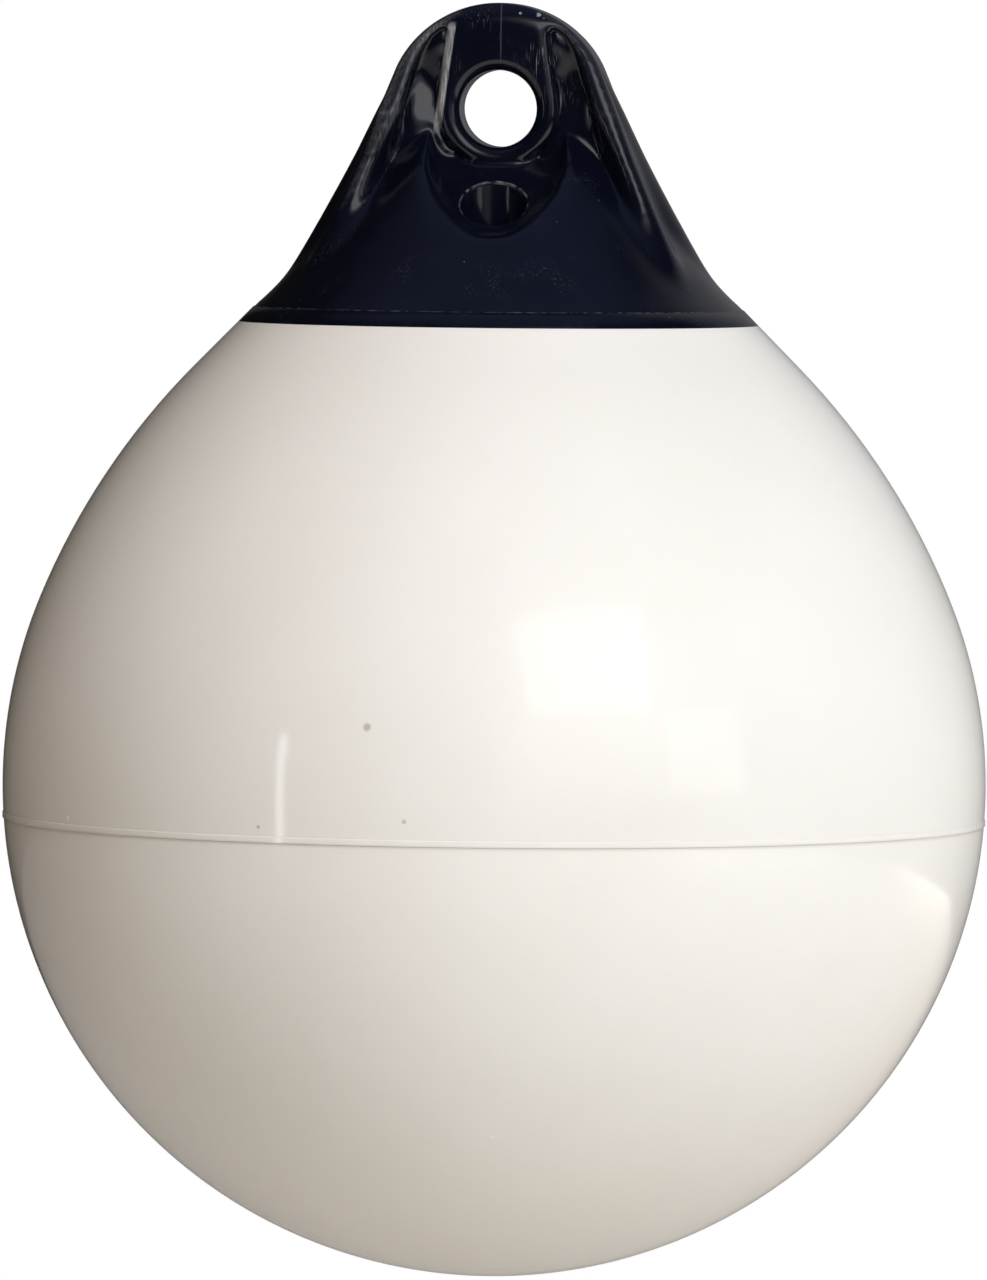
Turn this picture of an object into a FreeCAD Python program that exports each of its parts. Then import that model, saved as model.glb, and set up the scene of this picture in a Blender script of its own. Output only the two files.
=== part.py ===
# Ball fender: a hollow vinyl ball with a moulded rope hold and an air valve.
# Millimetres and degrees. Z is up, the front faces -Y and the origin is the centre of the rope's eye.
import FreeCAD, Part
import os
from math import cos, radians, sin, sqrt, tan

Vector = FreeCAD.Vector

# The ball
ball_diameter = 295.0
wall_thickness = 2.2
shoulder_start = 22.0  # latitude at which the sphere gives way to the shoulder
neck_slope = 44.5  # of the straight neck, from the axis
neck_length = 18.4  # straight, from the shoulder up to the collar's edge
seam_drop = 9.9
seam_width = 2.0
seam_height = 0.3

# The cap that continues the ball's neck
collar_radius = 77.9
collar_band_width = 9.5  # along the slope
collar_step = 0.4
cap_wall = 6.0
neck_top_rise = 13.5  # from the collar's edge to the neck's flat top
skirt_setback = 12.5  # of the lug's flanks, where they rise out of the cap, inside the collar's radius
skirt_slope = 41.0

# The lug, with its ribs and fins
eye_rise = 64.3  # from the collar's edge to the eye's centre
crown_radius = 33.8
crown_rise = 31.7  # from the eye's centre to the top
flank_slope = 26.0  # at the crown
flank_bow = 0.7
face_offset = 22.0  # of a leaning face from the middle plane, at the eye
face_lean = 12.5
face_setback = 8.4  # of a leaning face's foot, inside the skirt's radius
rib_width = 6.5
rib_draft = 3.0
rib_rounding = 2.5
fin_rounding = 3.0
web_offset = 12.5
groove_depth = 4.5
groove_radius = 12.0

# The eye, the cheek round each of its mouths and the scoop below
eye_diameter = 23.0
eye_mouth_rounding = 3.6
cheek_offset = 17.0
cheek_radius = 18.0
cheek_taper = 8.0
cheek_inset = 2.5
cheek_rounding = 2.2
scoop_radius = 20.0
scoop_slope = 33.0
scoop_rise = 22.6  # from the neck's top to its floor on the valve's axis
scoop_rounding = 4.0

# The valve, on an upright axis of its own
valve_offset = 34.0
pocket_diameter = 19.5
pocket_floor = 3.5
valve_clearance = 0.1
flange_thickness = 2.5
stem_diameter = 12.0
stem_length = 12.0
screw_diameter = 6.0
screw_length = 11.0
head_diameter = 13.0
head_thickness = 2.8
head_chamfer = 0.5
slot_width = 1.6
slot_depth = 1.6
seal_width = 2.0
seal_thickness = 1.6


def place(x, z, y=0.0):
    return Vector(x, y, z)


def polar(radius, angle, centre=(0.0, 0.0)):
    return centre[0] + radius * cos(radians(angle)), centre[1] + radius * sin(radians(angle))


def outline(start, *steps):
    """Closed wire from steps: [end] is a line, and [middle, end] is an arc."""
    edges = []
    here = start
    for step in steps:
        curve = Part.LineSegment(here, *step) if len(step) == 1 else Part.Arc(here, *step)
        edges.append(curve.toShape())
        here = step[-1]
    return Part.Wire(edges)


def turned(wire):
    return Part.Face(wire).revolve(Vector(0, 0, 0), Vector(0, 0, 1), 360)


def left_and_right(shape):
    return shape.fuse(shape.mirror(Vector(0, 0, 0), Vector(1, 0, 0)))


def front_and_back(shape):
    return shape.fuse(shape.mirror(Vector(0, 0, 0), Vector(0, 1, 0)))


def neck(along, under):
    """Radius and height at a length up the neck from the collar's edge, under its skin."""
    slope = radians(neck_slope)
    radius = collar_radius - along * sin(slope) - under * cos(slope)
    height = along * cos(slope) - under * sin(slope) - eye_rise
    return radius, height


def neck_radius(height, under):
    wide, low = neck(0, under)
    return wide - (height - low) * tan(radians(neck_slope))


def neck_height(radius, under):
    wide, low = neck(0, under)
    return low + (wide - radius) / tan(radians(neck_slope))


def skirt_height(radius):
    foot = neck_height(skirt_radius, collar_step)
    return foot + (skirt_radius - radius) / tan(radians(skirt_slope))


# Places that follow from the sizes above, with heights from the eye's centre
ball_radius = ball_diameter / 2
shoulder_end = neck(-neck_length, 0)
start_cos = cos(radians(shoulder_start))
shoulder_radius = (ball_radius * start_cos - shoulder_end[0]) / (start_cos - cos(radians(neck_slope)))
shoulder_centre = polar(-shoulder_radius, neck_slope, shoulder_end)
ball_centre = polar(shoulder_radius - ball_radius, shoulder_start, shoulder_centre)
neck_top = neck_top_rise - eye_rise
skirt_radius = collar_radius - skirt_setback
skirt_foot = skirt_height(skirt_radius)
face_foot_width = skirt_radius - face_setback
crown_height = crown_rise - crown_radius
pocket_height = neck_top + pocket_floor
stem_height = pocket_height - stem_length
seal_height = pocket_height + flange_thickness
head_height = seal_height + seal_thickness
reach = ball_diameter  # of a cutter past anything it cuts


def ball_solid(under):
    """The ball filled solid, up to its neck under the cap, on a surface under its skin."""
    radius = ball_radius - under
    bow = shoulder_radius - under
    top = neck_top - under
    pole = place(*polar(radius, -90, ball_centre))
    return turned(
        outline(
            pole,
            [
                place(*polar(radius, shoulder_start / 2 - 45, ball_centre)),
                place(*polar(radius, shoulder_start, ball_centre)),
            ],
            [
                place(*polar(bow, (shoulder_start + neck_slope) / 2, shoulder_centre)),
                place(*polar(bow, neck_slope, shoulder_centre)),
            ],
            [place(*neck(-under, under))],
            [place(*neck(-under, under + cap_wall))],
            [place(neck_radius(top, under + cap_wall), top)],
            [place(0, top)],
            [pole],
        )
    )


def seam():
    """Disc whose rim is the fine raised band where the halves of the ball's mould met."""
    rim_radius = sqrt(ball_radius**2 - seam_drop**2) + seam_height
    return Part.makeCylinder(rim_radius, seam_width, place(0, ball_centre[1] - seam_drop - seam_width / 2))


def valve_cylinder(diameter, low, high):
    return Part.makeCylinder(diameter / 2, high - low, place(0, low, -valve_offset))


def stem_hole():
    return valve_cylinder(stem_diameter + 2 * valve_clearance, stem_height, pocket_height)


def ball_shell():
    """The hollow ball, closed at the neck by a flat top that the valve passes through."""
    return ball_solid(0).fuse(seam()).cut(ball_solid(wall_thickness)).cut(stem_hole())


def cap():
    """The round cap, not yet hollow: the collar's band, a fine step and the skirt above it."""
    foot = place(0, neck(0, cap_wall)[1])
    tip_radius = web_offset / 2
    return turned(
        outline(
            foot,
            [place(*neck(0, cap_wall))],
            [place(*neck(0, 0))],
            [place(*neck(collar_band_width, 0))],
            [place(*neck(collar_band_width, collar_step))],
            [place(skirt_radius, skirt_foot)],
            [place(tip_radius, skirt_height(tip_radius))],
            [place(0, skirt_height(tip_radius))],
            [foot],
        )
    )


def middle_plane(height):
    return 0.0


def leaning_face(height):
    """How far a face of the lug stands from its middle plane at a height."""
    return face_offset - height * tan(radians(face_lean))


def flank(foot_width, inset=0.0):
    """Where the lug's side leaves the crown and where it meets the skirt, set in by an inset."""
    top = polar(crown_radius - inset, flank_slope, (0, crown_height))
    return top, (foot_width - inset, skirt_foot)


def lug_outline(foot_width, distance, inset=0.0, bow=0.0):
    """The lug's outline, at a distance in front of the middle plane that depends on the height."""

    def at(x, height):
        return place(x, height, -distance(height))

    top, foot = flank(foot_width, inset)
    up, down = [at(*top)], [at(-foot[0], foot[1])]
    if bow:
        run = Vector(foot[0] - top[0], foot[1] - top[1], 0)
        middle = (Vector(*top, 0) + Vector(*foot, 0)) / 2 + Vector(run.y, -run.x, 0).normalize() * bow
        up.insert(0, at(middle.x, middle.y))
        down.insert(0, at(-middle.x, middle.y))
    root = skirt_foot - cap_wall / 2
    return outline(
        at(-foot[0], root),
        [at(foot[0], root)],
        [at(*foot)],
        up,
        [at(0, crown_height + crown_radius - inset), at(-top[0], top[1])],
        down,
        [at(-foot[0], root)],
    )


def lug_body():
    """The tall lug: widest at its middle plane, with faces that lean out towards the skirt."""
    front = lug_outline(face_foot_width, leaning_face, bow=flank_bow)
    middle = lug_outline(skirt_radius, middle_plane, bow=flank_bow)
    back = lug_outline(face_foot_width, lambda height: -leaning_face(height), bow=flank_bow)
    return Part.makeLoft([front, middle, back], True, True)


def web_hollow():
    """Hollow between the ribs of one face, down to the flat web, with drafted walls."""

    def outside(height):
        return 2 * leaning_face(height) - web_offset

    floor = lug_outline(face_foot_width, lambda height: web_offset, rib_width + rib_draft)
    mouth = lug_outline(face_foot_width, outside, rib_width - rib_draft)
    return Part.makeLoft([floor, mouth], True, True)


def rounded(lug, radius, distance):
    """The lug with the edges rounded that run up and over it at a distance from its middle plane."""

    def chosen(edge):
        points = [vertex.Point for vertex in edge.Vertexes]
        near = [abs(abs(point.y) - distance(point.z)) < 0.01 for point in points]
        return all(near) and min(point.z for point in points) > skirt_foot - 0.01

    return lug.makeFillet(radius, [edge for edge in lug.Edges if chosen(edge)])


def side_groove():
    """Round groove down one flank, between its middle fin and its front rib, deeper towards the foot."""
    wide_top, wide_foot = flank(skirt_radius)
    narrow_top, narrow_foot = flank(face_foot_width)
    face_top = leaning_face(wide_top[1])
    face_foot = leaning_face(skirt_foot)
    top = place((wide_top[0] + narrow_top[0]) / 2 + groove_radius, wide_top[1], -face_top / 2)
    foot = place((wide_foot[0] + narrow_foot[0]) / 2, skirt_foot, -face_foot / 2)
    outward = Vector(face_foot, narrow_foot[0] - wide_foot[0], 0).normalize()
    run = foot + outward * (groove_radius - groove_depth) - top
    return Part.makeCylinder(groove_radius, 2 * run.Length, top - run / 2, run)


def cheek():
    """Raised pad round the eye: round below, with straight sides that taper up to the crown."""
    rim_radius = crown_radius - cheek_inset
    side, low = polar(cheek_radius, cheek_taper)
    from_crown = cheek_radius - crown_height * sin(radians(cheek_taper))
    length = crown_height * cos(radians(cheek_taper)) + sqrt(rim_radius**2 - from_crown**2)
    top_side, top = polar(length, cheek_taper + 90, (side, low))
    face = outline(
        place(-top_side, top, -cheek_offset),
        [place(-side, low, -cheek_offset)],
        [place(0, -cheek_radius, -cheek_offset), place(side, low, -cheek_offset)],
        [place(top_side, top, -cheek_offset)],
        [place(0, crown_height + rim_radius, -cheek_offset), place(-top_side, top, -cheek_offset)],
    )
    pad = Part.Face(face).extrude(Vector(0, cheek_offset, 0))
    rim = [edge for edge in pad.Edges if edge.BoundBox.YMax < -cheek_offset / 2]
    upright = [edge for edge in pad.Edges if edge.BoundBox.YLength > cheek_offset / 2]
    corners = [edge for edge in upright if edge.BoundBox.ZMin > eye_diameter / 2]
    return pad.makeFillet(cheek_rounding, rim + corners)


def scoop():
    """Hollow below a cheek, with upright walls and a sloping floor."""
    fall = tan(radians(scoop_slope))

    def floor(distance):
        return place(-scoop_radius, neck_top + scoop_rise + (valve_offset - distance) * fall, -distance)

    side = outline(
        floor(web_offset),
        [floor(reach)],
        [place(-scoop_radius, skirt_height(web_offset), -reach)],
        [place(-scoop_radius, skirt_height(web_offset), -web_offset)],
        [floor(web_offset)],
    )
    slab = Part.Face(side).extrude(Vector(2 * scoop_radius, 0, 0))
    post = Part.makeCylinder(scoop_radius, reach, place(0, neck_top, -valve_offset))
    block = Part.makeBox(2 * scoop_radius, valve_offset, reach, place(-scoop_radius, neck_top, -valve_offset))
    hollow = slab.common(post.fuse(block).removeSplitter())
    down = Vector(0, sin(radians(scoop_slope)), -cos(radians(scoop_slope)))
    bed = [face for face in hollow.Faces if face.normalAt(0, 0).getAngle(down) < 0.01][0]
    return hollow.makeFillet(scoop_rounding, bed.Edges)


def eye():
    """Cutter for the rope's eye, with a rounded mouth on each cheek."""
    radius = eye_diameter / 2
    mouth = radius + eye_mouth_rounding
    straight = cheek_offset - eye_mouth_rounding
    turn = eye_mouth_rounding * cos(radians(45))
    half = outline(
        Vector(0, -reach, 0),
        [Vector(mouth, -reach, 0)],
        [Vector(mouth, -cheek_offset, 0)],
        [Vector(mouth - turn, -straight - turn, 0), Vector(radius, -straight, 0)],
        [Vector(radius, straight, 0)],
        [Vector(mouth - turn, straight + turn, 0), Vector(mouth, cheek_offset, 0)],
        [Vector(mouth, reach, 0)],
        [Vector(0, reach, 0)],
        [Vector(0, -reach, 0)],
    )
    return Part.Face(half).revolve(Vector(0, 0, 0), Vector(0, 1, 0), 360)


def rope_hold():
    """The cap and its lug, moulded in one piece."""
    lug = lug_body().cut(front_and_back(web_hollow()))
    lug = rounded(lug, rib_rounding, leaning_face)
    lug = rounded(lug, fin_rounding, middle_plane)
    lug = lug.cut(left_and_right(front_and_back(side_groove())))
    hold = lug.fuse(cap()).cut(ball_solid(0))
    hold = hold.cut(front_and_back(scoop())).fuse(front_and_back(cheek())).cut(eye())
    return hold.cut(valve_cylinder(pocket_diameter, pocket_height, reach)).cut(stem_hole())


def valve_body():
    """Flanged insert on the floor of the pocket, whose stem passes into the ball."""
    flange = valve_cylinder(pocket_diameter - 2 * valve_clearance, pocket_height, seal_height)
    stem = valve_cylinder(stem_diameter, stem_height, pocket_height)
    bore = valve_cylinder(screw_diameter + 2 * valve_clearance, stem_height, seal_height)
    return flange.fuse(stem).cut(bore)


def valve_seal():
    """Rubber washer between the flange and the screw's head."""
    hole_diameter = screw_diameter + 2 * valve_clearance
    ring = valve_cylinder(hole_diameter + 2 * seal_width, seal_height, head_height)
    return ring.cut(valve_cylinder(hole_diameter, seal_height, head_height))


def valve_screw():
    """Slotted screw that closes the valve."""
    top = head_height + head_thickness
    head = valve_cylinder(head_diameter, head_height, top)
    middle = head.BoundBox.Center.z
    head = head.makeChamfer(head_chamfer, [edge for edge in head.Edges if edge.BoundBox.ZMin > middle])
    shank = valve_cylinder(screw_diameter, head_height - screw_length, head_height)
    corner = place(-head_diameter / 2, top - slot_depth, -valve_offset - slot_width / 2)
    slot = Part.makeBox(head_diameter, slot_width, head_thickness, corner)
    return head.fuse(shank).cut(slot)


os.makedirs("parts", exist_ok=True)
for make in (ball_shell, rope_hold, valve_body, valve_seal, valve_screw):
    make().exportStep(f"parts/{make.__name__}.step")
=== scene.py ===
import math

import bmesh
import bpy
from mathutils import Matrix, Vector


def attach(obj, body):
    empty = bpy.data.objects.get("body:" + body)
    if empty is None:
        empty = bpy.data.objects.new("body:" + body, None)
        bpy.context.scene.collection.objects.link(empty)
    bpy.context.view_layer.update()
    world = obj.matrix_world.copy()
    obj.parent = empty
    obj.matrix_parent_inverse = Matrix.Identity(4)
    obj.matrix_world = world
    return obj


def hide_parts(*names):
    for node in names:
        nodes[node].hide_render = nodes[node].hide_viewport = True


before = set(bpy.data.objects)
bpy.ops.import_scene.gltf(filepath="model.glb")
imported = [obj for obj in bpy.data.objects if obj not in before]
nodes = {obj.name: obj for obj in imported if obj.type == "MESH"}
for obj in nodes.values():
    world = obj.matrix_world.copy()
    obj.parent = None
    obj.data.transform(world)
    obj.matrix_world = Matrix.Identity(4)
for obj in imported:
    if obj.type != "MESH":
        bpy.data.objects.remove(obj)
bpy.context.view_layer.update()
scene = bpy.context.scene


def linear(code):
    # an sRGB hex colour as the linear colour that the shaders take
    colour = []
    for start in (1, 3, 5):
        value = int(code[start:start + 2], 16) / 255
        colour.append(value / 12.92 if value <= 0.04045 else ((value + 0.055) / 1.055) ** 2.4)
    return (*colour, 1.0)


def newMaterial(name):
    material = bpy.data.materials.new(name)
    material.use_nodes = True
    material.node_tree.nodes.clear()
    return material


def addNode(material, kind, values, links, stops=(), **settings):
    # one shader node with its socket values, what feeds it, its colour ramp and its settings
    node = material.node_tree.nodes.new(kind)
    for name, value in settings.items():
        setattr(node, name, value)
    for name, value in values.items():
        node.inputs[name].default_value = value
    for name, source in links.items():
        material.node_tree.links.new(source, node.inputs[name])
    for element, (position, colour) in enumerate(stops):
        node.color_ramp.elements[element].position = position
        node.color_ramp.elements[element].color = linear(colour)
    return node


def farFrom(material, value, level):
    # how far a value is from a level, on either side of it
    off = addNode(material, "ShaderNodeMath", {1: level}, {0: value}, operation="SUBTRACT")
    return addNode(material, "ShaderNodeMath", {}, {0: off.outputs["Value"]},
                   operation="ABSOLUTE").outputs["Value"]


def limited(material, value, *limits):
    # the value times a strength for each limit, which is low up to a start and high from an end
    for source, start, end, low, high in limits:
        limit = addNode(material, "ShaderNodeMapRange",
                        {"From Min": start, "From Max": end, "To Min": low, "To Max": high},
                        {"Value": source})
        value = addNode(material, "ShaderNodeMath", {}, {0: value, 1: limit.outputs["Result"]},
                        operation="MULTIPLY").outputs["Value"]
    return value


def asObject(mesh, name, unit=0.001):
    # the finished bmesh as an object at the origin; outlines are drawn in millimetres
    bmesh.ops.scale(mesh, verts=mesh.verts, vec=(unit, unit, unit))
    data = bpy.data.meshes.new(name)
    mesh.to_mesh(data)
    mesh.free()
    made = bpy.data.objects.new(name, data)
    scene.collection.objects.link(made)
    return made


def bake(piece):
    # the piece's modifiers become its mesh
    graph = bpy.context.evaluated_depsgraph_get()
    graph.update()
    data = bpy.data.meshes.new_from_object(piece.evaluated_get(graph))
    piece.modifiers.clear()
    piece.data = data


def combine(piece, tool, operation):
    # adds, takes away or cuts to a second closed shape, which is then thrown away
    cut = piece.modifiers.new("combine", "BOOLEAN")
    cut.operation = operation
    cut.solver = "MANIFOLD"
    cut.object = tool
    bake(piece)
    bpy.data.objects.remove(tool)


def smooth(piece, angle):
    # smooth shading, but edges sharper than the angle stay crisp
    piece.data.shade_smooth()
    piece.data.set_sharp_from_angle(angle=math.radians(angle))


def drawTo(mesh, point, x, z):
    # a straight run of the outline
    moved = bmesh.ops.extrude_vert_indiv(mesh, verts=[point])["verts"]
    bmesh.ops.translate(mesh, verts=moved, vec=Vector((x, 0, z)) - point.co)
    return moved[0]


def bend(mesh, point, x, z, turn, steps):
    # an arc of the outline round x, z
    arc = bmesh.ops.spin(mesh, geom=[point], cent=(x, 0, z), axis=(0, -1, 0), dvec=(0, 0, 0),
                         angle=math.radians(turn), steps=steps, use_merge=False,
                         use_duplicate=False)
    return next(item for item in arc["geom_last"] if isinstance(item, bmesh.types.BMVert))


def outline(*corners):
    # a new outline of straight runs, and its last point
    mesh = bmesh.new()
    point = mesh.verts.new((corners[0][0], 0, corners[0][1]))
    for x, z in corners[1:]:
        point = drawTo(mesh, point, x, z)
    return mesh, point


def lathe(mesh, steps):
    # the whole outline goes once round the Z axis
    bmesh.ops.spin(mesh, geom=mesh.verts[:] + mesh.edges[:], cent=(0, 0, 0), axis=(0, 0, 1),
                   dvec=(0, 0, 0), angle=math.tau, steps=steps, use_merge=True,
                   use_duplicate=False)
    bmesh.ops.remove_doubles(mesh, verts=mesh.verts, dist=0.0005)
    bmesh.ops.recalc_face_normals(mesh, faces=mesh.faces)


def turned(corners, steps, name):
    # a turned shape with straight sides
    mesh = outline(*corners)[0]
    lathe(mesh, steps)
    return asObject(mesh, name)


def cylinder(radius, length, place, tilt=0, segments=96):
    mesh = bmesh.new()
    matrix = Matrix.Translation(place) @ Matrix.Rotation(math.radians(tilt), 4, "X")
    bmesh.ops.create_cone(mesh, cap_ends=True, segments=segments, radius1=radius,
                          radius2=radius, depth=length, matrix=matrix)
    return mesh


def fourfold(corners, near, far, name):
    # a slab from near to far off the middle plane, on the left and right, in front and behind
    mesh = outline(*corners, corners[0])[0]
    bmesh.ops.remove_doubles(mesh, verts=mesh.verts, dist=0.0005)
    bmesh.ops.edgeloop_fill(mesh, edges=mesh.edges[:])
    bmesh.ops.translate(mesh, verts=mesh.verts, vec=(0, -near, 0))
    front = bmesh.ops.extrude_face_region(mesh, geom=mesh.faces[:], use_keep_orig=True)["geom"]
    bmesh.ops.translate(mesh, vec=(0, near - far, 0),
                        verts=[item for item in front if isinstance(item, bmesh.types.BMVert)])
    bmesh.ops.triangulate(mesh, faces=mesh.faces, quad_method="BEAUTY", ngon_method="EAR_CLIP")
    bmesh.ops.recalc_face_normals(mesh, faces=mesh.faces)
    for axis in ("X", "Y"):
        bmesh.ops.mirror(mesh, geom=mesh.verts[:] + mesh.edges[:] + mesh.faces[:], axis=axis,
                         merge_dist=0)
    bmesh.ops.recalc_face_normals(mesh, faces=mesh.faces)
    return asObject(mesh, name)


# The camera stands where the photograph was taken from
view = {
    "distance": 4.2,         # m, from the ball's axis
    "side": 3.0,             # degrees round to the right
    "height": 0.0182,        # m, above the eye's centre
    "aim": (-0.0006, 0.0, -0.1594),
    "roll": 0.55,            # degrees
    "lens": 394.0,           # mm, on the frame's long side
    "frame": 36,             # mm, the long side
}

cameraData = bpy.data.cameras.new("camera")
cameraData.lens = view["lens"]
cameraData.sensor_width = view["frame"]
cameraData.clip_start = 0.05
cameraData.clip_end = 60
camera = bpy.data.objects.new("camera", cameraData)
scene.collection.objects.link(camera)
scene.camera = camera
side = math.radians(view["side"])
camera.location = (view["distance"] * math.sin(side), -view["distance"] * math.cos(side),
                   view["height"])
sight = (Vector(view["aim"]) - camera.location).to_track_quat("-Z", "Y").to_matrix().to_4x4()
roll = Matrix.Rotation(math.radians(view["roll"]), 4, "Z")
camera.matrix_world = Matrix.Translation(camera.location) @ sight @ roll
print("camera set")


# The neck that the ball and the rope hold share, and the way for the valve's stem through both
neckSizes = {
    "edgeRadius": 77.9,      # mm, where the collar ends on the ball
    "edgeHeight": -64.3,
    "slope": 44.5,           # degrees from upright
    "ledge": 6.0,            # how deep the collar sits in the ball
    "top": -50.8,
    "valveOffset": -34.0,    # the valve's axis, in front of the middle
    "stemRadius": 6.1,
    "stemLength": 10,
    "stemSegments": 48,
}


def neck(along, under):
    # radius and height at a length up the neck, under its skin
    slope = math.radians(neckSizes["slope"])
    radius = neckSizes["edgeRadius"] - along * math.sin(slope) - under * math.cos(slope)
    height = neckSizes["edgeHeight"] + along * math.cos(slope) - under * math.sin(slope)
    return radius, height


def neckTop():
    # the neck's blunt end, inside the cap
    wide, low = neck(0, neckSizes["ledge"])
    rise = neckSizes["top"] - low
    return wide - rise * math.tan(math.radians(neckSizes["slope"])), neckSizes["top"]


def stemHole():
    return asObject(cylinder(neckSizes["stemRadius"], neckSizes["stemLength"],
                             (0, neckSizes["valveOffset"], neckSizes["top"]),
                             segments=neckSizes["stemSegments"]), "stem_hole")


ballSkin = {
    "radius": 147.5,         # mm
    "centre": -202.783,
    "wall": 2.2,
    "shoulderRadius": 214.85,
    "shoulderFrom": 22.0,    # degrees above the ball's middle
    "shoulderTo": 44.5,
    "neckLength": 18.4,
    "seamDrop": 9.9,         # the parting band, below the middle
    "seamWidth": 2.0,
    "seamProud": 0.3,
    "seamSide": 0.25,
    "bellySteps": 60,        # of the arc from the bottom up to the seam
    "girthSteps": 18,
    "shoulderSteps": 16,
    "steps": 256,            # round the axis
    "crisp": 28,             # degrees
}


def ballOutline():
    size = ballSkin
    radius, centre = size["radius"], size["centre"]
    low = -size["seamDrop"] - size["seamWidth"] / 2
    high = -size["seamDrop"] + size["seamWidth"] / 2
    band = math.sqrt(radius ** 2 - (low + high) ** 2 / 4) + size["seamProud"]
    lowAngle, highAngle = (math.degrees(math.asin(place / radius)) for place in (low, high))
    mesh, point = outline((0, centre - radius))
    point = bend(mesh, point, 0, centre, 90 + lowAngle, size["bellySteps"])
    point = drawTo(mesh, point, band, centre + low + size["seamSide"])
    point = drawTo(mesh, point, band, centre + high - size["seamSide"])
    point = drawTo(mesh, point, radius * math.cos(math.radians(highAngle)), centre + high)
    point = bend(mesh, point, 0, centre, size["shoulderFrom"] - highAngle, size["girthSteps"])
    start = math.radians(size["shoulderFrom"])
    beyond = radius - size["shoulderRadius"]
    point = bend(mesh, point, beyond * math.cos(start), centre + beyond * math.sin(start),
                 size["shoulderTo"] - size["shoulderFrom"], size["shoulderSteps"])
    for corner in (neck(-size["neckLength"] / 2, 0), neck(0, 0), neck(0, neckSizes["ledge"]),
                   neckTop(), (0, neckSizes["top"])):
        point = drawTo(mesh, point, *corner)
    return mesh


mesh = ballOutline()
lathe(mesh, ballSkin["steps"])
bmesh.ops.solidify(mesh, geom=mesh.faces[:], thickness=ballSkin["wall"])
ball = asObject(mesh, "ball_skin")
combine(ball, stemHole(), "DIFFERENCE")
smooth(ball, ballSkin["crisp"])
print("ball", len(ball.data.polygons), "faces")


# Sizes in mm, heights from the eye's centre, and slopes in degrees from upright
ropeHold = {
    "eyeRadius": 11.5,
    "mouthRounding": 3.6,
    "mouthSteps": 10,
    "cheekFace": 17.0,       # the cheeks' distance from the middle plane
    "skirtFoot": (65.4, -52.15),
    "skirtSlope": 41.0,
    "skirtFrom": -50,        # the heights between which its cone is drawn
    "skirtTo": -8,
    "bandWidth": 6.4,        # the collar's band
    "bandEdge": 0.12,
    "bandRoot": 5,           # how deep it reaches into the skirt
    "pocketRadius": 9.75,    # the valve's pocket
    "pocketFloor": -47.3,
    "pocketLength": 40,
    "rimWidth": 0.6,         # the small round at the pocket's mouth
    "rimTurn": 75,
    "rimSteps": 5,
    "scoopHeight": -28.2,    # the scoop's floor at the valve's axis
    "scoopSlope": 33.0,      # its slope from level
    # what fills the openings for the remesh
    "eyePlug": 15.6,         # radius
    "valvePlug": (10.6, 36, -31),         # radius, length and middle
    "underFill": (75, 60, 16, -61),       # lower and upper radius, height and middle
    # how far the cutters reach past the shape
    "eyeClear": 6,
    "rimClear": (0.6, 1.2),  # sideways and up
    "skinClear": 6,
    "underReach": (100, -90),
    # the skin that comes off under the band, as lengths along the neck and under it
    "bandCut": ((-6, 0.2), (12, 0.2), (12, -3), (-6, -3), (-6, 0.2)),
    # the hollow's corner under the crown, and the scoop's side, as x and height
    "webCorner": ((18.6, -2.0), (17.2, 7.5), (14.9, 24.0), (16.6, 24.6), (20.2, 21.6),
                  (23.2, 17.2), (25.4, 11.0), (26.9, 5.0), (28.2, 0.0), (29.2, -4.0),
                  (28.6, -8.0)),
    "scoopSide": ((20.2, -9.0), (19.8, -18.0), (17.4, -24.4), (14.8, -28.0), (12.0, -31.6),
                  (7.6, -35.8), (1.6, -40.2), (1.6, -45.0), (24.0, -45.0), (24.0, -9.0)),
    "cornerDepth": (12.5, 30),            # from the middle plane, from where to where
    "scoopDepth": (16, 64),
    # the hollow's floor turns to the middle and leans back, and both fade out at its ends
    "webFace": 12.5,
    "webTurn": 0.2,
    "webLean": 0.17,
    "webPivot": (19, 6),
    "webFoot": (-24, -10),
    "webHead": (28, 26),
    "webSide": (34, 28),
    "webLevel": (1.2, 0.6),  # distance from the floor's own depth
    "webFacing": 0.75,       # how straight a point has to face the front
    "grain": 0.85,           # the remesh that melts the ribs into the skirt
    "passes": 100,           # rounds of smoothing on the softest parts
    "softBase": 0.05,        # the share of the rounds that every part gets
    "softAside": 0.09,       # more at these distances from the eye's axis
    "asideFrom": (19, 25),
    "softLow": 0.86,         # and most under the eye, but not at the collar
    "lowFrom": (-1, -14),
    "lowTo": (-58, -50),
    "steps": 256,            # round the axis
    "skirtSteps": 192,
    "holeSteps": 96,
    "sliver": 0.0002,
    "crisp": 52,             # degrees
}
slope = math.radians(ropeHold["scoopSlope"])
scoopFloor = (0, neckSizes["valveOffset"], ropeHold["scoopHeight"])


def skirtRadius(height):
    wide, low = ropeHold["skirtFoot"]
    return wide - (height - low) * math.tan(math.radians(ropeHold["skirtSlope"]))


# The CAD solid's own shape, with its fine openings filled for the moment
mesh = bmesh.new()
mesh.from_mesh(nodes["rope_hold"].data)
bmesh.ops.remove_doubles(mesh, verts=mesh.verts, dist=1e-6)
hold = asObject(mesh, "rope_hold_body", 1)

eyePlug = cylinder(ropeHold["eyePlug"], 2 * ropeHold["cheekFace"], (0, 0, 0), 90)
combine(hold, asObject(eyePlug, "eye_plug"), "UNION")

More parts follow.
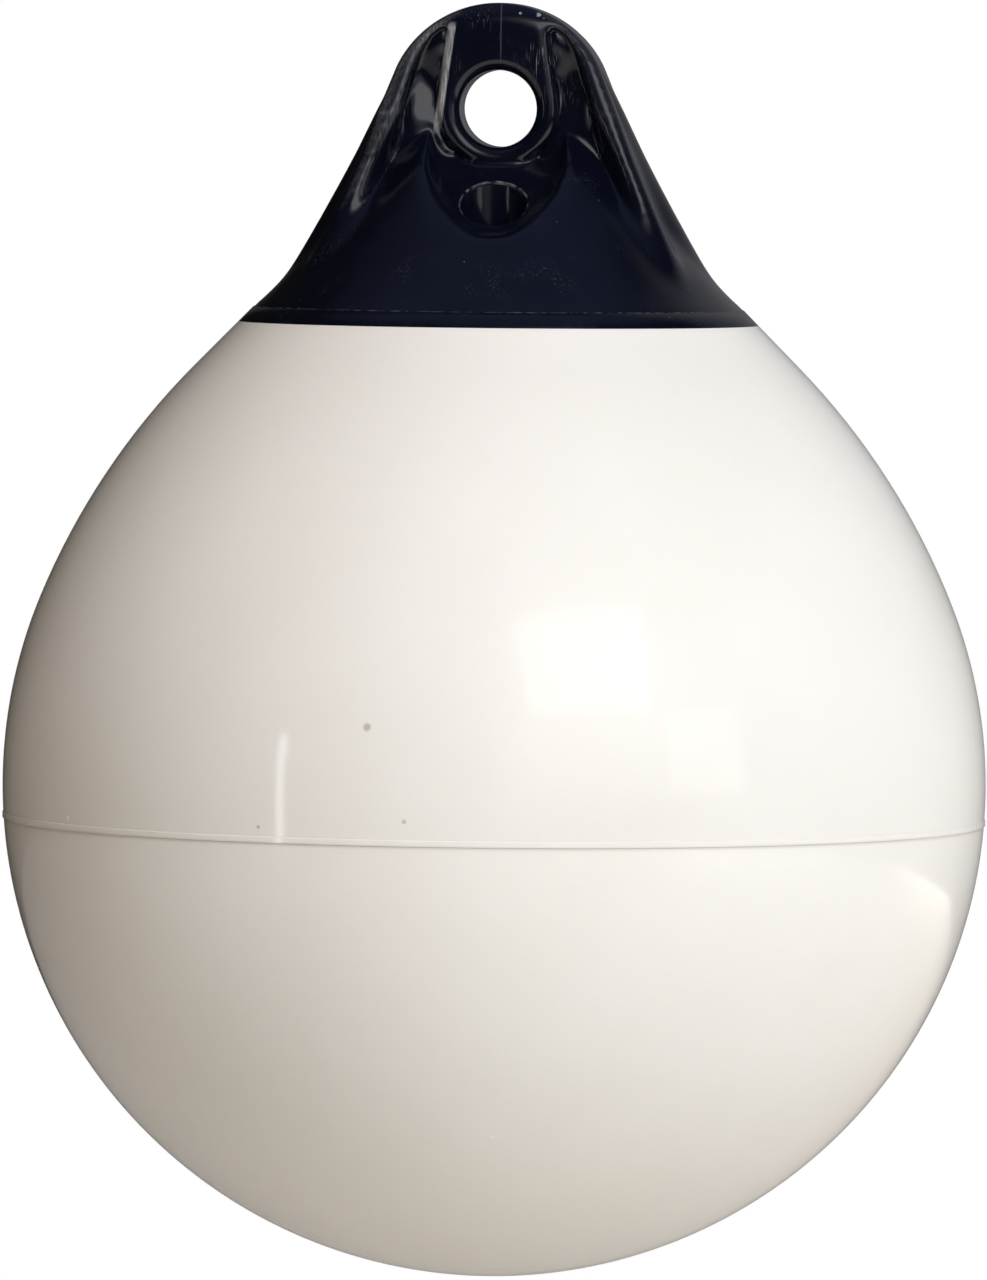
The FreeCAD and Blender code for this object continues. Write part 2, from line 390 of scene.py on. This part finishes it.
radius, length, middle = ropeHold["valvePlug"]
valvePlug = cylinder(radius, length, (0, neckSizes["valveOffset"], middle))
bmesh.ops.bisect_plane(valvePlug, plane_co=scoopFloor, clear_outer=True,
                       plane_no=(0, -math.sin(slope), math.cos(slope)),
                       geom=valvePlug.verts[:] + valvePlug.edges[:] + valvePlug.faces[:])
bmesh.ops.holes_fill(valvePlug, edges=[edge for edge in valvePlug.edges if edge.is_boundary],
                     sides=0)
bmesh.ops.recalc_face_normals(valvePlug, faces=valvePlug.faces)
combine(hold, asObject(valvePlug, "valve_plug"), "UNION")

below, over, height, middle = ropeHold["underFill"]
underFill = bmesh.new()
bmesh.ops.create_cone(underFill, cap_ends=True, segments=ropeHold["holeSteps"], radius1=below,
                      radius2=over, depth=height, matrix=Matrix.Translation((0, 0, middle)))
combine(hold, asObject(underFill, "under_fill"), "UNION")

# The collar's band comes off, so that the skirt runs down to the edge as one cone
bandCut = [neck(along, under) for along, under in ropeHold["bandCut"]]
combine(hold, turned(bandCut, ropeHold["steps"], "band_cut"), "DIFFERENCE")

# The hollows beside the cheeks reach up under the crown's rim
webCorner = fourfold(ropeHold["webCorner"], *ropeHold["cornerDepth"], "web_corner")
combine(hold, webCorner, "DIFFERENCE")

# The scoops narrow to a point on the skirt, so their wide ends are filled up to its cone
foot, head = ropeHold["skirtFrom"], ropeHold["skirtTo"]
skirtCone = turned(((0, foot), (skirtRadius(foot), foot), (skirtRadius(head), head), (0, head)),
                   ropeHold["skirtSteps"], "skirt_cone")
scoopFill = fourfold(ropeHold["scoopSide"], *ropeHold["scoopDepth"], "scoop_fill")
combine(scoopFill, skirtCone, "INTERSECT")
combine(hold, scoopFill, "UNION")

melt = hold.modifiers.new("melt", "REMESH")
melt.mode = "VOXEL"
melt.voxel_size = ropeHold["grain"] * 0.001
bake(hold)
print("rope hold remeshed", len(hold.data.polygons), "faces")


def share(value, start, end):
    # how far a value is from start to end, kept between 0 and 1
    return min(max((value - start) / (end - start), 0), 1)


def softness(place):
    # how much of the smoothing a point gets: little on the cheeks, most on the scoops' skirt
    x, y, z = place * 1000
    aside = share(math.hypot(x, z), *ropeHold["asideFrom"])
    low = share(z, *ropeHold["lowFrom"]) * share(z, *ropeHold["lowTo"])
    return ropeHold["softBase"] + aside * (ropeHold["softAside"] + ropeHold["softLow"] * low)


def webShift(place):
    # how far a point of the hollow's floor moves in depth
    x, y, z = place * 1000
    across, height = ropeHold["webPivot"]
    inside = share(z, *ropeHold["webFoot"]) * share(z, *ropeHold["webHead"])
    inside *= share(abs(x), *ropeHold["webSide"])
    inside *= share(abs(abs(y) - ropeHold["webFace"]), *ropeHold["webLevel"])
    shift = ropeHold["webTurn"] * (abs(x) - across) - ropeHold["webLean"] * (z - height)
    return math.copysign(inside * shift, y) / 1000


mesh = bmesh.new()
mesh.from_mesh(hold.data)
for vert in mesh.verts:
    if abs(vert.normal.y) > ropeHold["webFacing"]:
        vert.co.y += webShift(vert.co)
soft = {vert: softness(vert.co) for vert in mesh.verts}
for count in range(ropeHold["passes"]):
    reached = [vert for vert in mesh.verts if soft[vert] * ropeHold["passes"] > count]
    bmesh.ops.smooth_vert(mesh, verts=reached, factor=0.5, use_axis_x=True, use_axis_y=True,
                          use_axis_z=True)
mesh.to_mesh(hold.data)
mesh.free()

# Its hollow underside, cut to the neck's own outline
wide, low = ropeHold["underReach"]
underside = ((0, neckSizes["top"]), neckTop(), neck(0, neckSizes["ledge"]),
             neck(0, -ropeHold["skinClear"]), (wide, low), (0, low))
combine(hold, turned(underside, ropeHold["steps"], "ball_cut"), "DIFFERENCE")

# The collar's band, a fine step above the skirt
width, edge, root = ropeHold["bandWidth"], ropeHold["bandEdge"], ropeHold["bandRoot"]
band = [neck(along, under) for along, under in (
    (0, root), (0, edge), (edge, 0), (width - edge, 0), (width, edge), (width, root), (0, root))]
combine(hold, turned(band, ropeHold["steps"], "collar_band"), "UNION")

# The eye, with its rounded mouths
face, rounding, bore = ropeHold["cheekFace"], ropeHold["mouthRounding"], ropeHold["eyeRadius"]
eyeCut, point = outline((0, 0), (bore, 0), (bore, face - rounding))
point = bend(eyeCut, point, bore + rounding, face - rounding, -90, ropeHold["mouthSteps"])
point = drawTo(eyeCut, point, bore + rounding, face + ropeHold["eyeClear"])
drawTo(eyeCut, point, 0, face + ropeHold["eyeClear"])
lathe(eyeCut, ropeHold["holeSteps"])
bmesh.ops.mirror(eyeCut, geom=eyeCut.verts[:] + eyeCut.edges[:] + eyeCut.faces[:], axis="Z",
                 merge_dist=0.001)
inner = [item for item in eyeCut.faces if abs(item.calc_center_median().z) < 0.01]
bmesh.ops.delete(eyeCut, geom=inner, context="FACES")
bmesh.ops.recalc_face_normals(eyeCut, faces=eyeCut.faces)
bmesh.ops.rotate(eyeCut, verts=eyeCut.verts, cent=(0, 0, 0),
                 matrix=Matrix.Rotation(math.radians(90), 3, "X"))
combine(hold, asObject(eyeCut, "eye_cut"), "DIFFERENCE")

# The valve's pocket with its rounded mouth, and the hole for its stem
radius, length = ropeHold["pocketRadius"], ropeHold["pocketLength"]
pocket = cylinder(radius, length,
                  (0, neckSizes["valveOffset"], ropeHold["pocketFloor"] + length / 2))
combine(hold, asObject(pocket, "pocket_cut"), "DIFFERENCE")
rim, (beside, over) = ropeHold["rimWidth"], ropeHold["rimClear"]
mouth, point = outline((0, -rim), (radius, -rim))
point = bend(mouth, point, radius + rim, -rim, -ropeHold["rimTurn"], ropeHold["rimSteps"])
point = drawTo(mouth, point, radius + rim + beside, over)
drawTo(mouth, point, 0, over)
lathe(mouth, ropeHold["holeSteps"])
bmesh.ops.scale(mouth, verts=mouth.verts, vec=(1, 1 / math.cos(slope), 1))
bmesh.ops.rotate(mouth, verts=mouth.verts, cent=(0, 0, 0),
                 matrix=Matrix.Rotation(slope, 3, "X"))
bmesh.ops.translate(mouth, verts=mouth.verts, vec=scoopFloor)
combine(hold, asObject(mouth, "mouth_cut"), "DIFFERENCE")
combine(hold, stemHole(), "DIFFERENCE")

# The cuts leave a few slivers along their edges
mesh = bmesh.new()
mesh.from_mesh(hold.data)
sliver = ropeHold["sliver"] / 1000
bmesh.ops.remove_doubles(mesh, verts=mesh.verts, dist=sliver)
bmesh.ops.dissolve_degenerate(mesh, edges=mesh.edges, dist=sliver)
mesh.to_mesh(hold.data)
mesh.free()
smooth(hold, ropeHold["crisp"])
print("rope hold", len(hold.data.polygons), "faces")


# Plasticised PVC, rotation moulded and glossy: a soft cream white that lets a little light in,
# with the slow waves of a wall that cooled against its mould, about 45 mm apart
ivoryMarksAndGlints = [
    # x, y, z and radius in mm, colour, and how strong: small blemishes of the moulding, and two
    # white painted highlights, glints on a pip and on the seam
    ((-29.6, -142.5, -179.1), 1.5, "#8C8780", 0.55),
    # painted highlight: a white glint on a small pip low on the ball
    ((6.2, -110.5, -300.3), 0.9, "#FFFFFF", 0.5),
    ((-61.6, -133.9, -209.0), 0.7, "#A39C8C", 0.6),
    ((-18.4, -146.3, -206.3), 0.8, "#A8A294", 0.6),
    # painted highlight: a white glint on a nib of the parting band
    ((-121.3, -83.7, -209.8), 0.9, "#FFFFFF", 0.8),
    ((71.0, 126.0, -178.0), 1.2, "#8F897F", 0.5),
    ((118.0, 60.0, -262.0), 0.8, "#9A9385", 0.5),
]
ivoryVinyl = newMaterial("ivory_moulded_vinyl")
place = addNode(ivoryVinyl, "ShaderNodeTexCoord", {}, {}).outputs["Object"]
cloud = addNode(ivoryVinyl, "ShaderNodeTexNoise", {"Scale": 9.0, "Detail": 3.0},
                {"Vector": place})
tone = addNode(ivoryVinyl, "ShaderNodeValToRGB", {}, {"Fac": cloud.outputs["Fac"]},
               stops=((0.3, "#E9E6DF"), (0.7, "#EFEDE8"))).outputs["Color"]

# Painted shade: a darker line along the parting band's lower edge, under the proud band
apart = addNode(ivoryVinyl, "ShaderNodeSeparateXYZ", {}, {"Vector": place})
seamHeight = ballSkin["centre"] - ballSkin["seamDrop"] - ballSkin["seamWidth"] / 2
seamShade = addNode(ivoryVinyl, "ShaderNodeMapRange",
                {"From Min": 0.0, "From Max": 0.0009, "To Min": 0.35, "To Max": 0.0},
                {"Value": farFrom(ivoryVinyl, apart.outputs["Z"], seamHeight / 1000)})
tone = addNode(ivoryVinyl, "ShaderNodeMix", {"B": linear("#A79F8D")},
               {"Factor": seamShade.outputs["Result"], "A": tone},
               data_type="RGBA").outputs["Result"]
for spot, radius, colour, strength in ivoryMarksAndGlints:
    away = addNode(ivoryVinyl, "ShaderNodeVectorMath", {1: [value / 1000 for value in spot]},
                   {0: place}, operation="DISTANCE")
    blemishAndGlint = addNode(ivoryVinyl, "ShaderNodeMapRange",
                      {"From Min": radius / 2000, "From Max": radius / 1000,
                       "To Min": strength, "To Max": 0.0}, {"Value": away.outputs["Value"]})
    tone = addNode(ivoryVinyl, "ShaderNodeMix", {"B": linear(colour)},
                   {"Factor": blemishAndGlint.outputs["Result"], "A": tone},
                   data_type="RGBA").outputs["Result"]
gloss = addNode(ivoryVinyl, "ShaderNodeMapRange", {"To Min": 0.06, "To Max": 0.10},
                {"Value": cloud.outputs["Fac"]})
waves = addNode(ivoryVinyl, "ShaderNodeTexNoise", {"Scale": 22.0, "Detail": 1.0},
                {"Vector": place})
waveBump = addNode(ivoryVinyl, "ShaderNodeBump", {"Strength": 0.25, "Distance": 0.0008},
                   {"Height": waves.outputs["Fac"]})
ivorySurface = addNode(ivoryVinyl, "ShaderNodeBsdfPrincipled",
                       {"IOR": 1.53, "Subsurface Weight": 0.12, "Subsurface Scale": 0.004,
                        "Subsurface Radius": (1.0, 0.85, 0.6)},
                       {"Base Color": tone, "Roughness": gloss.outputs["Result"],
                        "Normal": waveBump.outputs["Normal"]})
addNode(ivoryVinyl, "ShaderNodeOutputMaterial", {}, {"Surface": ivorySurface.outputs["BSDF"]})

# Solid PVC, injection moulded in navy: nearly black and glossy, scuffed and nicked where ropes
# rub it, with highlights painted pale on some edges
navyMarks = {
    # x, y, z and radius in mm of the nicks
    "nicks": (
        ((6.4, -16.0, 28.6), 0.5), ((11.8, -15.0, 28.0), 0.9), ((13.4, -15.5, 26.8), 0.5),
        ((19.0, -14.0, 22.2), 0.5), ((22.9, -13.0, 18.6), 0.5), ((-29.2, -14.0, -20.1), 0.7),
        ((-14.0, -12.6, -18.2), 0.4), ((-19.0, 16.0, 21.0), 0.7), ((9.0, 16.8, 26.0), 0.6),
        ((27.0, 13.0, 4.0), 0.6),
    ),
    # x, y, z, reach in mm and strength of the scratched places beside the eye
    "scratched": (
        ((13.0, -17.0, 15.0), 5.5, 0.3), ((-15.5, -16.0, 12.0), 4.0, 0.22),
        ((14.0, 17.0, 12.0), 5.0, 0.25),
    ),
    "highlightStripPlace": -17.3,     # mm, a painted highlight, a pale strip along the left cheek's edge beside the eye, and how it slants
    "highlightStripSlant": -0.135,
    "lineSide": 0.8,         # mm, the parting line, right of the middle
}
navyVinyl = newMaterial("navy_moulded_vinyl")
place = addNode(navyVinyl, "ShaderNodeTexCoord", {}, {}).outputs["Object"]
apart = addNode(navyVinyl, "ShaderNodeSeparateXYZ", {}, {"Vector": place})
across, height = apart.outputs["X"], apart.outputs["Z"]
cloud = addNode(navyVinyl, "ShaderNodeTexNoise", {"Scale": 55.0, "Detail": 4.0},
                {"Vector": place})
wearAndHighlights = []

# Scratches run up and down, about 0.4 mm apart and 6 mm long, in patches
stretched = addNode(navyVinyl, "ShaderNodeMapping", {"Scale": (2400.0, 2400.0, 160.0)},
                    {"Vector": place})
scratch = addNode(navyVinyl, "ShaderNodeTexNoise", {"Scale": 1.0, "Detail": 2.0},
                  {"Vector": stretched.outputs["Vector"]})
patches = addNode(navyVinyl, "ShaderNodeTexNoise", {"Scale": 70.0, "Detail": 2.0},
                  {"Vector": place})
fine = addNode(navyVinyl, "ShaderNodeMapRange", {"From Min": 0.6, "From Max": 0.72},
               {"Value": scratch.outputs["Fac"]}).outputs["Result"]
wearAndHighlights.append(limited(navyVinyl, fine, (patches.outputs["Fac"], 0.56, 0.7, 0.0, 0.12)))
for spot, reach, strength in navyMarks["scratched"]:
    away = addNode(navyVinyl, "ShaderNodeVectorMath", {1: [value / 1000 for value in spot]},
                   {0: place}, operation="DISTANCE").outputs["Value"]
    wearAndHighlights.append(limited(navyVinyl, fine, (away, reach / 2000, reach * 1.3 / 1000, strength, 0.0)))

# The raised edges are painted pale: rubbed wear, and a painted highlight along the ribs' crests,
# most on the left where the light falls, but not near the eye or on the collar
shape = addNode(navyVinyl, "ShaderNodeNewGeometry", {}, {})
flat = addNode(navyVinyl, "ShaderNodeMapping", {"Scale": (1.0, 0.0, 1.0)}, {"Vector": place})
fromEye = addNode(navyVinyl, "ShaderNodeVectorMath", {}, {0: flat.outputs["Vector"]},
                  operation="LENGTH")
wearAndHighlightStreaks = addNode(navyVinyl, "ShaderNodeMapRange",
                  {"From Min": 0.35, "From Max": 0.62, "To Min": 0.35, "To Max": 1.0},
                  {"Value": scratch.outputs["Fac"]}).outputs["Result"]
wearAndHighlights.append(limited(navyVinyl, wearAndHighlightStreaks,
                    (shape.outputs["Pointiness"], 0.51, 0.57, 0.0, 1.0),
                    (across, -0.012, 0.02, 1.0, 0.3),                        # the left more, a painted highlight
                    (farFrom(navyVinyl, across, 0.0), 0.0105, 0.0125, 0.0, 1.0),
                    (fromEye.outputs["Value"], 0.028, 0.032, 0.0, 1.0),
                    (height, -0.044, -0.032, 0.0, 1.0)))                     # not the collar

# A painted highlight: a pale slanted strip 2 mm wide along the left edge of the raised middle
slanted = addNode(navyVinyl, "ShaderNodeVectorMath", {1: (1.0, 0.0, navyMarks["highlightStripSlant"])},
                  {0: place}, operation="DOT_PRODUCT")
fromHighlightStrip = farFrom(navyVinyl, slanted.outputs["Value"], navyMarks["highlightStripPlace"] / 1000)
wearAndHighlights.append(limited(navyVinyl, wearAndHighlightStreaks,
                    (fromHighlightStrip, 0.0008, 0.0014, 1.0, 0.0),
                    (height, 0.024, 0.026, 1.0, 0.0),                        # its top and foot
                    (height, -0.008, -0.003, 0.0, 1.0)))

# Painted highlights: the rim of the valve's pocket is painted bright, and so is the collar's fine
# step, in short dashes
level = addNode(navyVinyl, "ShaderNodeMapping",
                {"Location": (0.0, -neckSizes["valveOffset"] / 1000, 0.0),
                 "Scale": (1.0, 1.0, 0.0)}, {"Vector": place})
fromValve = addNode(navyVinyl, "ShaderNodeVectorMath", {}, {0: level.outputs["Vector"]},
                    operation="LENGTH")
rimMiddle = (ropeHold["pocketRadius"] + ropeHold["rimWidth"] * 0.7) / 1000
fromRim = farFrom(navyVinyl, fromValve.outputs["Value"], rimMiddle)
fromStep = farFrom(navyVinyl, height, neck(ropeHold["bandWidth"], 0)[1] / 1000)
highlightDashNoise = addNode(navyVinyl, "ShaderNodeTexNoise", {"Scale": 420.0, "Detail": 3.0},
                 {"Vector": place})
highlightDashes = addNode(navyVinyl, "ShaderNodeMapRange", {"From Min": 0.42, "From Max": 0.66},
                 {"Value": highlightDashNoise.outputs["Fac"]}).outputs["Result"]
wearAndHighlights.append(limited(navyVinyl, highlightDashes, (fromRim, 0.0001, 0.0003, 0.3, 0.0)))
wearAndHighlights.append(limited(navyVinyl, highlightDashes, (fromStep, 0.00005, 0.0002, 0.13, 0.0)))

# The mould's parting line over the crown, 0.25 mm wide
fromLine = farFrom(navyVinyl, across, navyMarks["lineSide"] / 1000)
crown = addNode(navyVinyl, "ShaderNodeMapRange",
                {"From Min": 0.013, "From Max": 0.017, "To Min": 0.0, "To Max": 0.10},
                {"Value": height}).outputs["Result"]
wearAndHighlights.append(limited(navyVinyl, crown, (fromLine, 0.00008, 0.00022, 1.0, 0.0)))

# Nicks with torn edges
torn = addNode(navyVinyl, "ShaderNodeTexNoise", {"Scale": 1100.0, "Detail": 2.0},
               {"Vector": place})
ragged = addNode(navyVinyl, "ShaderNodeMapRange", {"To Min": -0.0006, "To Max": 0.0006},
                 {"Value": torn.outputs["Fac"]})
for spot, radius in navyMarks["nicks"]:
    away = addNode(navyVinyl, "ShaderNodeVectorMath", {1: [value / 1000 for value in spot]},
                   {0: place}, operation="DISTANCE")
    away = addNode(navyVinyl, "ShaderNodeMath", {},
                   {0: away.outputs["Value"], 1: ragged.outputs["Result"]}, operation="ADD")
    wearAndHighlights.append(addNode(navyVinyl, "ShaderNodeMapRange",
                        {"From Min": radius / 2000, "From Max": radius / 1000,
                         "To Min": 0.6, "To Max": 0.0},
                        {"Value": away.outputs["Value"]}).outputs["Result"])

# Pale dust in the grain, single specks of about 0.3 mm and 8 mm apart
dust = addNode(navyVinyl, "ShaderNodeTexVoronoi", {"Scale": 120.0}, {"Vector": place})
wearAndHighlights.append(addNode(navyVinyl, "ShaderNodeMapRange",
                    {"From Min": 0.012, "From Max": 0.022, "To Min": 0.45, "To Max": 0.0},
                    {"Value": dust.outputs["Distance"]}).outputs["Result"])

# The strongest of all these marks and painted highlights shows, paler and less glossy than the
# navy
mark = wearAndHighlights[0]
for other in wearAndHighlights[1:]:
    mark = addNode(navyVinyl, "ShaderNodeMath", {}, {0: mark, 1: other},
                   operation="MAXIMUM").outputs["Value"]
navyTone = addNode(navyVinyl, "ShaderNodeValToRGB", {}, {"Fac": cloud.outputs["Fac"]},
                   stops=((0.35, "#070A15"), (0.7, "#0A0D1A")))
navyTone = addNode(navyVinyl, "ShaderNodeMix", {"B": linear("#A9ABB0")},
                   {"Factor": mark, "A": navyTone.outputs["Color"]}, data_type="RGBA")
sheen = addNode(navyVinyl, "ShaderNodeMapRange",
                {"From Min": 0.3, "From Max": 0.7, "To Min": 0.10, "To Max": 0.19},
                {"Value": cloud.outputs["Fac"]})
rough = addNode(navyVinyl, "ShaderNodeMath", {}, {0: mark, 1: sheen.outputs["Result"]},
                operation="ADD", use_clamp=True)
ripple = addNode(navyVinyl, "ShaderNodeTexNoise", {"Scale": 90.0, "Detail": 1.0},
                 {"Vector": place})
rippleBump = addNode(navyVinyl, "ShaderNodeBump", {"Strength": 0.2, "Distance": 0.0002},
                     {"Height": ripple.outputs["Fac"]})
markBump = addNode(navyVinyl, "ShaderNodeBump", {"Strength": 0.3, "Distance": 0.00005},
                   {"Height": mark, "Normal": rippleBump.outputs["Normal"]})
navySurface = addNode(navyVinyl, "ShaderNodeBsdfPrincipled", {"IOR": 1.53},
                      {"Base Color": navyTone.outputs["Result"],
                       "Roughness": rough.outputs["Value"],
                       "Normal": markBump.outputs["Normal"]})
addNode(navyVinyl, "ShaderNodeOutputMaterial", {}, {"Surface": navySurface.outputs["BSDF"]})

# Turned brass, left bright: a warm metal with fine rings from the tool
turnedBrass = newMaterial("turned_brass")
place = addNode(turnedBrass, "ShaderNodeTexCoord", {}, {}).outputs["Object"]
rings = addNode(turnedBrass, "ShaderNodeTexNoise", {"Scale": 900.0, "Detail": 2.0},
                {"Vector": place})
ringBump = addNode(turnedBrass, "ShaderNodeBump", {"Strength": 0.2, "Distance": 0.0001},
                   {"Height": rings.outputs["Fac"]})
brassTone = addNode(turnedBrass, "ShaderNodeValToRGB", {}, {"Fac": rings.outputs["Fac"]},
                    stops=((0.0, "#A98645"), (1.0, "#C9A864")))
brassSurface = addNode(turnedBrass, "ShaderNodeBsdfPrincipled",
                       {"Metallic": 1.0, "Roughness": 0.3},
                       {"Base Color": brassTone.outputs["Color"],
                        "Normal": ringBump.outputs["Normal"]})
addNode(turnedBrass, "ShaderNodeOutputMaterial", {}, {"Surface": brassSurface.outputs["BSDF"]})

# Nitrile rubber, pressed: dull black with a fine grain
sealRubber = newMaterial("pressed_nitrile_rubber")
place = addNode(sealRubber, "ShaderNodeTexCoord", {}, {}).outputs["Object"]
grain = addNode(sealRubber, "ShaderNodeTexNoise", {"Scale": 1500.0, "Detail": 2.0},
                {"Vector": place})
grainBump = addNode(sealRubber, "ShaderNodeBump", {"Strength": 0.3, "Distance": 0.0001},
                    {"Height": grain.outputs["Fac"]})
grainTone = addNode(sealRubber, "ShaderNodeValToRGB", {}, {"Fac": grain.outputs["Fac"]},
                    stops=((0.0, "#121212"), (1.0, "#1E1E1D")))
rubberSurface = addNode(sealRubber, "ShaderNodeBsdfPrincipled", {"Roughness": 0.65, "IOR": 1.5},
                        {"Base Color": grainTone.outputs["Color"],
                         "Normal": grainBump.outputs["Normal"]})
addNode(sealRubber, "ShaderNodeOutputMaterial", {}, {"Surface": rubberSurface.outputs["BSDF"]})

# Nylon 6, moulded: black with a waxy, slightly mottled shine
screwNylon = newMaterial("moulded_nylon")
place = addNode(screwNylon, "ShaderNodeTexCoord", {}, {}).outputs["Object"]
mottle = addNode(screwNylon, "ShaderNodeTexNoise", {"Scale": 500.0, "Detail": 3.0},
                 {"Vector": place})
mottleTone = addNode(screwNylon, "ShaderNodeValToRGB", {}, {"Fac": mottle.outputs["Fac"]},
                     stops=((0.0, "#17181B"), (1.0, "#24262A")))
waxy = addNode(screwNylon, "ShaderNodeMapRange", {"To Min": 0.3, "To Max": 0.42},
               {"Value": mottle.outputs["Fac"]})
nylonSurface = addNode(screwNylon, "ShaderNodeBsdfPrincipled", {"IOR": 1.53},
                       {"Base Color": mottleTone.outputs["Color"],
                        "Roughness": waxy.outputs["Result"]})
addNode(screwNylon, "ShaderNodeOutputMaterial", {}, {"Surface": nylonSurface.outputs["BSDF"]})

for piece, material in ((ball, ivoryVinyl), (hold, navyVinyl)):
    piece.data.materials.clear()
    piece.data.materials.append(material)
for name, material in (("valve_body", turnedBrass), ("valve_seal", sealRubber),
                       ("valve_screw", screwNylon)):
    for slot in nodes[name].material_slots:
        slot.material = material

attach(ball, "root")
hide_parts("ball_shell")
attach(hold, "root")
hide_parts("rope_hold")
print("materials set")


studio = {
    "floorHeight": -0.62,    # m, below the hanging ball
    "floorSize": 5.0,
    "ball": (0.0, 0.0, -0.2028),
    "lampDistance": 2.0,     # m, from the ball
    "roomTone": "#171614",
}


def towards(turn, rise):
    # a direction from the ball, in degrees right of the camera and above it
    turn, rise = math.radians(turn + view["side"]), math.radians(rise)
    return Vector((math.sin(turn) * math.cos(rise), -math.cos(turn) * math.cos(rise),
                   math.sin(rise)))


def softbox(name, turn, rise, width, height, power, colour, seen):
    # an area light that faces the ball
    lamp = bpy.data.lights.new(name, "AREA")
    lamp.shape = "RECTANGLE"
    lamp.size, lamp.size_y = width, height
    lamp.energy = power
    lamp.color = linear(colour)[:3]
    made = bpy.data.objects.new(name, lamp)
    scene.collection.objects.link(made)
    back = towards(turn, rise)
    made.location = Vector(studio["ball"]) + back * studio["lampDistance"]
    made.rotation_euler = back.to_track_quat("Z", "Y").to_euler()
    made.visible_camera = False
    made.visible_glossy = seen


softboxes = {
    # turn, rise, width and height in m, power in W, colour, and whether the gloss mirrors it
    "window": (22.5, 30, 0.98, 0.80, 3.4, "#FFFFFF", True),
    "side_window": (49, 9, 0.62, 0.60, 1.2, "#FFFFFF", True),
    "left_strip": (-49, 0, 0.07, 0.8, 0.75, "#FFFFFF", True),
    "soft_key": (26, 32, 1.6, 1.6, 25, "#F6F9FF", False),
    "soft_top": (-20, 62, 1.6, 1.6, 9, "#FFF8EE", False),
    "soft_low": (60, -6, 1.6, 0.4, 8, "#FAFCFF", False),
    "soft_upper_left": (-45, 42, 1.2, 1.4, 5.5, "#FFE2B8", False),
    "soft_back_right": (125, 5, 1.2, 1.2, 16, "#FFFAF2", False),
}
for name, settings in softboxes.items():
    softbox(name, *settings)

mesh = bmesh.new()
bmesh.ops.create_grid(mesh, x_segments=8, y_segments=8, size=studio["floorSize"] / 2)
bmesh.ops.translate(mesh, verts=mesh.verts, vec=(0, 0, studio["floorHeight"]))
floor = asObject(mesh, "studio_floor", 1)
paper = newMaterial("white_paper")
place = addNode(paper, "ShaderNodeTexCoord", {}, {}).outputs["Object"]
fibre = addNode(paper, "ShaderNodeTexNoise", {"Scale": 60.0, "Detail": 4.0}, {"Vector": place})
paperTone = addNode(paper, "ShaderNodeValToRGB", {}, {"Fac": fibre.outputs["Fac"]},
                    stops=((0.0, "#ECE6DA"), (1.0, "#F2EDE3")))
paperSurface = addNode(paper, "ShaderNodeBsdfPrincipled", {"Roughness": 0.9},
                       {"Base Color": paperTone.outputs["Color"]})
addNode(paper, "ShaderNodeOutputMaterial", {}, {"Surface": paperSurface.outputs["BSDF"]})
floor.data.materials.append(paper)

# A white room for the camera, and for the ball a dim one with a few broad glows
glows = {
    # turn, rise, half width and half width with the fade, in degrees, colour
    "front_right": (23, 23, 9, 31, "#D4D4DA"),
    "behind_right": (150, 14, 6, 44, "#7C7C80"),
    "overhead": (0, 90, 12, 50, "#4E5474"),
}
world = bpy.data.worlds.new("studio")
scene.world = world
world.use_nodes = True
world.node_tree.nodes.clear()
direction = addNode(world, "ShaderNodeTexCoord", {}, {})
room = addNode(world, "ShaderNodeBackground",
               {"Color": linear(studio["roomTone"]), "Strength": 1.0}, {}).outputs["Background"]
for turn, rise, core, fade, colour in glows.values():
    along = addNode(world, "ShaderNodeVectorMath", {1: towards(turn, rise)},
                    {0: direction.outputs["Generated"]}, operation="DOT_PRODUCT")
    glow = addNode(world, "ShaderNodeMapRange",
                   {"From Min": math.cos(math.radians(fade)),
                    "From Max": math.cos(math.radians(core))},
                   {"Value": along.outputs["Value"]}, interpolation_type="SMOOTHSTEP")
    light = addNode(world, "ShaderNodeBackground", {"Color": linear(colour)},
                    {"Strength": glow.outputs["Result"]})
    room = addNode(world, "ShaderNodeAddShader", {},
                   {0: room, 1: light.outputs["Background"]}).outputs["Shader"]
backdrop = addNode(world, "ShaderNodeBackground", {"Color": (1, 1, 1, 1), "Strength": 1.0}, {})
ray = addNode(world, "ShaderNodeLightPath", {}, {})
both = addNode(world, "ShaderNodeMixShader", {},
               {"Fac": ray.outputs["Is Camera Ray"], 1: room, 2: backdrop.outputs["Background"]})
addNode(world, "ShaderNodeOutputWorld", {}, {"Surface": both.outputs["Shader"]})
scene.view_settings.view_transform = "Standard"
print("studio set")
